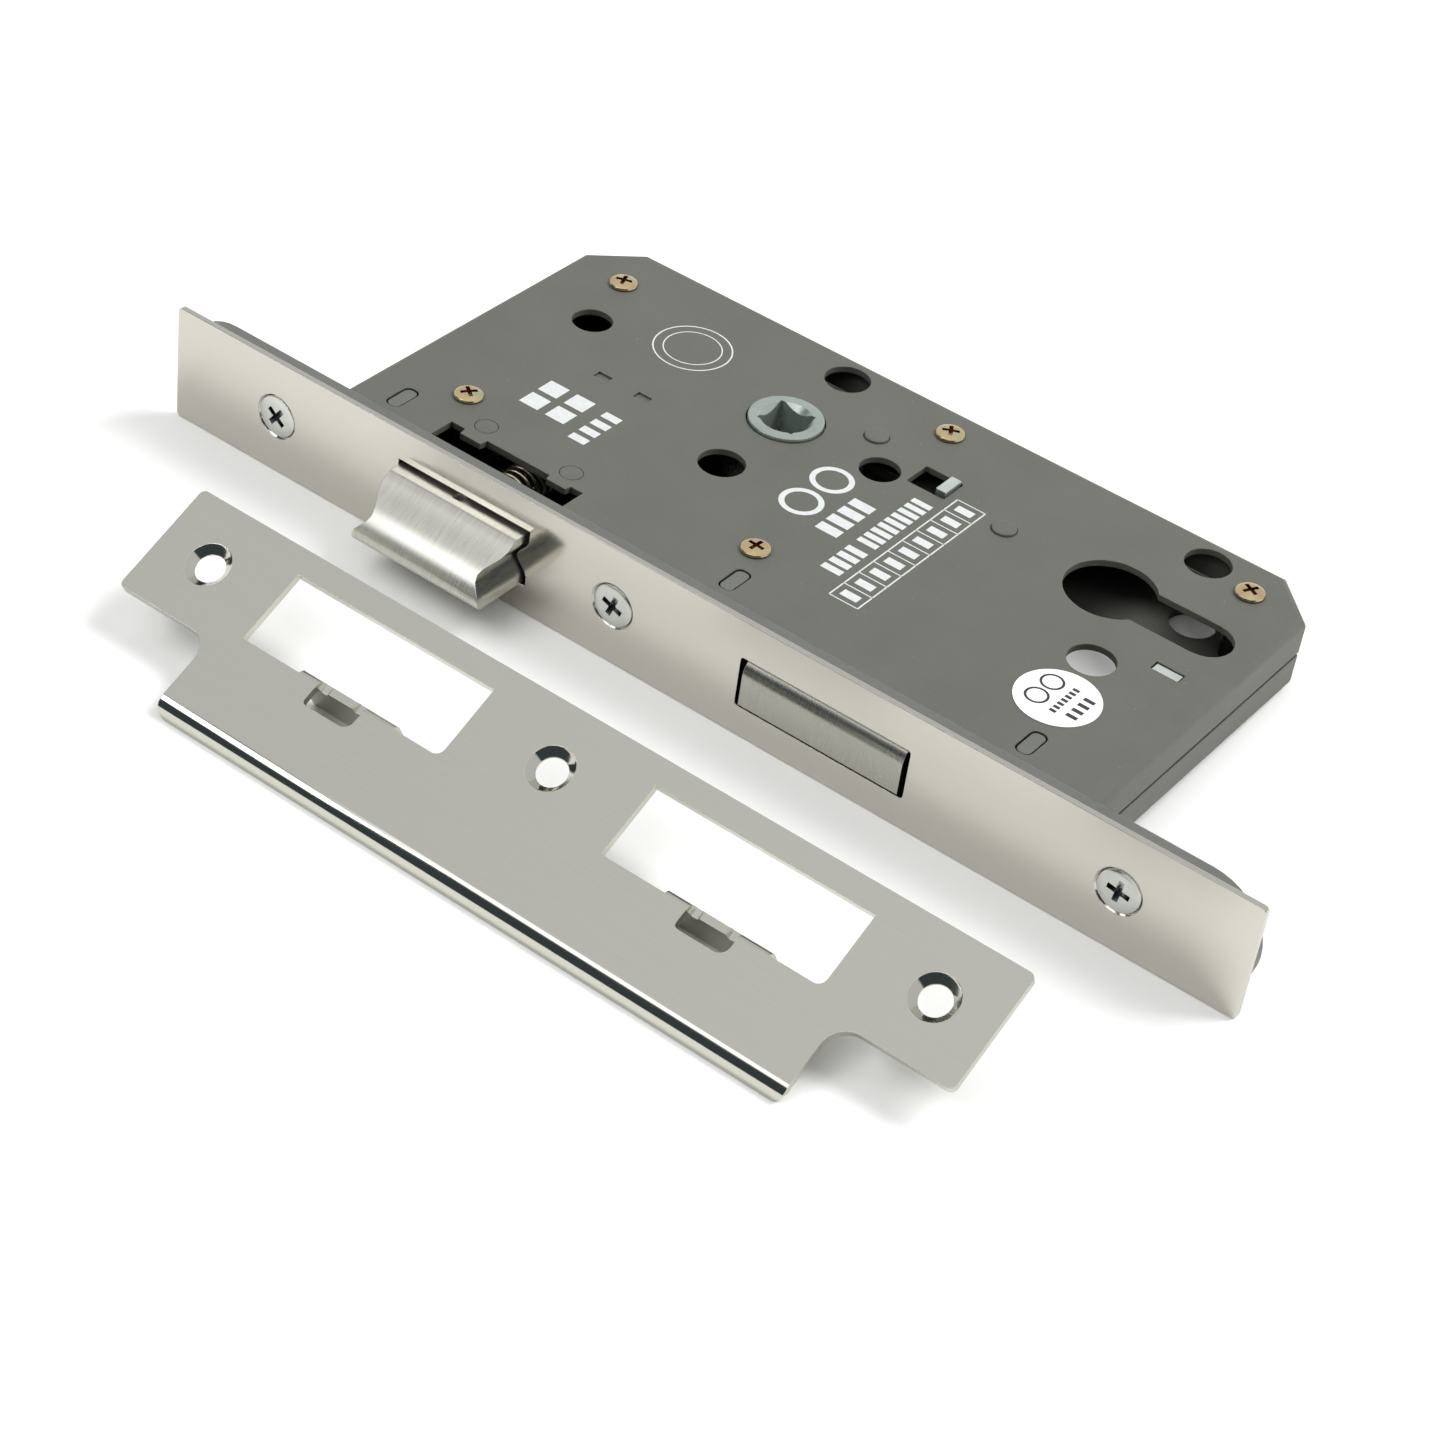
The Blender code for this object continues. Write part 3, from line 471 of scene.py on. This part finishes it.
def ink(name, colour, bars, rings, level):
    """Flat print: bars are x0, x1, y0, y1 and rings are x, y, inner and outer radius."""
    bm = bmesh.new()

    def corners(points):
        return [bm.verts.new(at(x, y, level)) for x, y in points]

    for x0, x1, y0, y1 in bars:
        bm.faces.new(corners(((x0, y0), (x1, y0), (x1, y1), (x0, y1))))
    for x, y, inner, outer in rings:
        a, b = (corners([(x + r * c, y + r * s) for c, s in CIRCLE]) for r in (outer, inner))
        for i in range(RING_STEPS):
            j = (i + 1) % RING_STEPS
            bm.faces.new((a[i], a[j], b[j], b[i]))
    mesh = bpy.data.meshes.new(name)
    bm.to_mesh(mesh)
    bm.free()
    s = Shader(name + "_ink")
    s.set("Base Color", s.mix(s.spread(s.noise(900.0, 3.0)), scaled(colour, 0.9), colour))
    s.set("Roughness", s.spread(s.noise(1500.0, 2.0), 0.4, 0.55))
    s.set("Normal", s.bump(s.noise(2600.0, 2.0), 0.00001, 0.3))
    mesh.materials.append(s.material)
    ob = add(name, mesh)
    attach(ob, "lock_case")


def dashes(x0, x1, y0, y1, count, fill=0.66):
    """A line of plain blocks standing where a line of print would be."""
    pitch = (y1 - y0) / count
    return [(x0, x1, y0 + pitch * (i + 0.5 - fill / 2), y0 + pitch * (i + 0.5 + fill / 2))
            for i in range(count)]


CELLS = 9
CELL_PITCH = 4.5
LINE = 0.25
ROW = [(37.0, 43.4, 22.0 + CELL_PITCH * i, 22.0 + LINE + CELL_PITCH * i)
       for i in range(CELLS + 1)]
ROW += [(37.0, 37.3, 22.0, 62.75), (43.1, 43.4, 22.0, 62.75)]
BLOCKS = (dashes(23.6, 28.4, 36.0, 49.6, 4, 0.7) + dashes(31.2, 35.4, 27.2, 37.0, 4)
          + dashes(31.2, 35.4, 38.4, 57.6, 9) + dashes(38.4, 42.0, 22.1, 62.6, CELLS, 0.42)
          + dashes(-38.4, -34.0, 27.6, 38.6, 2, 0.74)
          + dashes(-32.2, -27.8, 27.6, 38.6, 2, 0.74)
          + dashes(-24.8, -21.0, 25.2, 38.0, 4, 0.6))
RINGS = [(-27.0, 66.5, 5.55, 5.8), (-27.0, 66.5, 7.5, 7.8), (17.4, 41.0, 3.1, 4.2),
         (17.4, 50.6, 3.1, 4.2)]
ink("cover_print", (0.62, 0.64, 0.64), ROW + BLOCKS, RINGS, CASE_HALF + INK_THICKNESS)
ink("label_print", (0.035, 0.037, 0.04),
    dashes(82.6, 83.9, 22.4, 31.2, 7, 0.6) + dashes(85.4, 87.6, 23.0, 30.6, 4, 0.5),
    [(79.0, 24.6, 1.75, 2.25), (79.0, 29.6, 1.75, 2.25)],
    CASE_HALF + LABEL_TOP + INK_THICKNESS)

# ---- floor -------------------------------------------------------------------------------------
FLOOR_RADIUS = 1.3
FLOOR_IN_METAL = (0.70, 0.695, 0.67)    # the floor as the bright metal mirrors it


def floor():
    """A pale round sheet under the lowest point of the model."""
    bm = bmesh.new()
    bmesh.ops.create_circle(bm, cap_ends=True, segments=96, radius=FLOOR_RADIUS)
    mesh = bpy.data.meshes.new("floor")
    bm.to_mesh(mesh)
    bm.free()
    ob = add("floor", mesh)
    ob.location.z = cad_box[0].z
    s = Shader("floor_white")
    tone = s.mix(s.spread(s.noise(3.0, 2.0)), (0.90, 0.90, 0.89), (0.92, 0.92, 0.915))
    mirrored = s.node("ShaderNodeLightPath").outputs["Is Glossy Ray"]
    s.set("Base Color", s.mix(mirrored, tone, FLOOR_IN_METAL))
    s.set("Roughness", 0.9)
    s.set("Specular IOR Level", 0.1)
    mesh.materials.append(s.material)


floor()

# ---- lights: a key behind, a fill in front, and a small card aimed at the latch, seen only in mirrors ---
ORIGIN = Vector((0.0, 0.0, 0.0))
LATCH_NOSE = at(-27, -12, 0)
CARD_FROM_LATCH = Vector((-0.5, -0.60, 0.62)) * 0.3


def panel(name, place, aim, size, power):
    """Rectangular area light turned to its aim."""
    data = bpy.data.lights.new(name, "AREA")
    data.shape = "RECTANGLE"
    data.size, data.size_y = size
    data.energy = power
    ob = add(name, data)
    ob.location = place
    ob.rotation_euler = (aim - Vector(place)).to_track_quat("-Z", "Y").to_euler()
    return ob


for soft_light in (panel("key", (0.9, 1.0, 1.5), ORIGIN, (0.9, 0.9), 34.0),
                   panel("fill", (-0.6, -0.6, 1.4), ORIGIN, (1.2, 1.2), 10.0)):
    soft_light.visible_glossy = False
card = panel("card", LATCH_NOSE + CARD_FROM_LATCH, LATCH_NOSE, (0.13, 0.085), 0.09)
card.visible_camera = False
card.visible_diffuse = False

# ---- studio: what the metal mirrors ------------------------------------------------------------
ROOM_GREYS = ((0.0, 0.7), (0.3, 0.62), (0.6, 0.6), (0.85, 0.64), (1.0, 0.72))
FRONT_DARK = (0.045, 0.055, 0.06)
SOFT_BOX = (2.1, 2.1, 2.06)
BACKDROP = (0.98, 0.98, 0.98)


def world_light():
    """A pale room: soft overhead, a bright soft box high in front, and dark below that box."""
    world = bpy.data.worlds.new("studio")
    bpy.context.scene.world = world
    world.use_nodes = True
    w = Nodes(world.node_tree)

    def step(value, low, high):
        return w.span(value, low, high, curve="SMOOTHSTEP")

    split = w.node("ShaderNodeSeparateXYZ")
    w.feed(split.inputs[0], w.node("ShaderNodeTexCoord").outputs["Generated"])
    x, y, z = (split.outputs[name] for name in "XYZ")
    room = w.ramp(z, [(where, (grey,) * 3) for where, grey in ROOM_GREYS])
    front = step(y, -0.19, -0.30)
    dark = w.times(front, step(z, 0.86, 0.80))
    box = w.times(w.times(front, step(x, -0.52, -0.42)),
                  w.times(step(z, 0.68, 0.75), step(z, 0.88, 0.83)))
    room = w.mix(box, w.mix(dark, room, FRONT_DARK), SOFT_BOX)
    seen = w.node("ShaderNodeLightPath").outputs["Is Camera Ray"]
    background = w.tree.nodes["Background"]
    w.feed(background.inputs["Color"], w.mix(seen, room, BACKDROP))
    background.inputs["Strength"].default_value = 1.0


world_light()
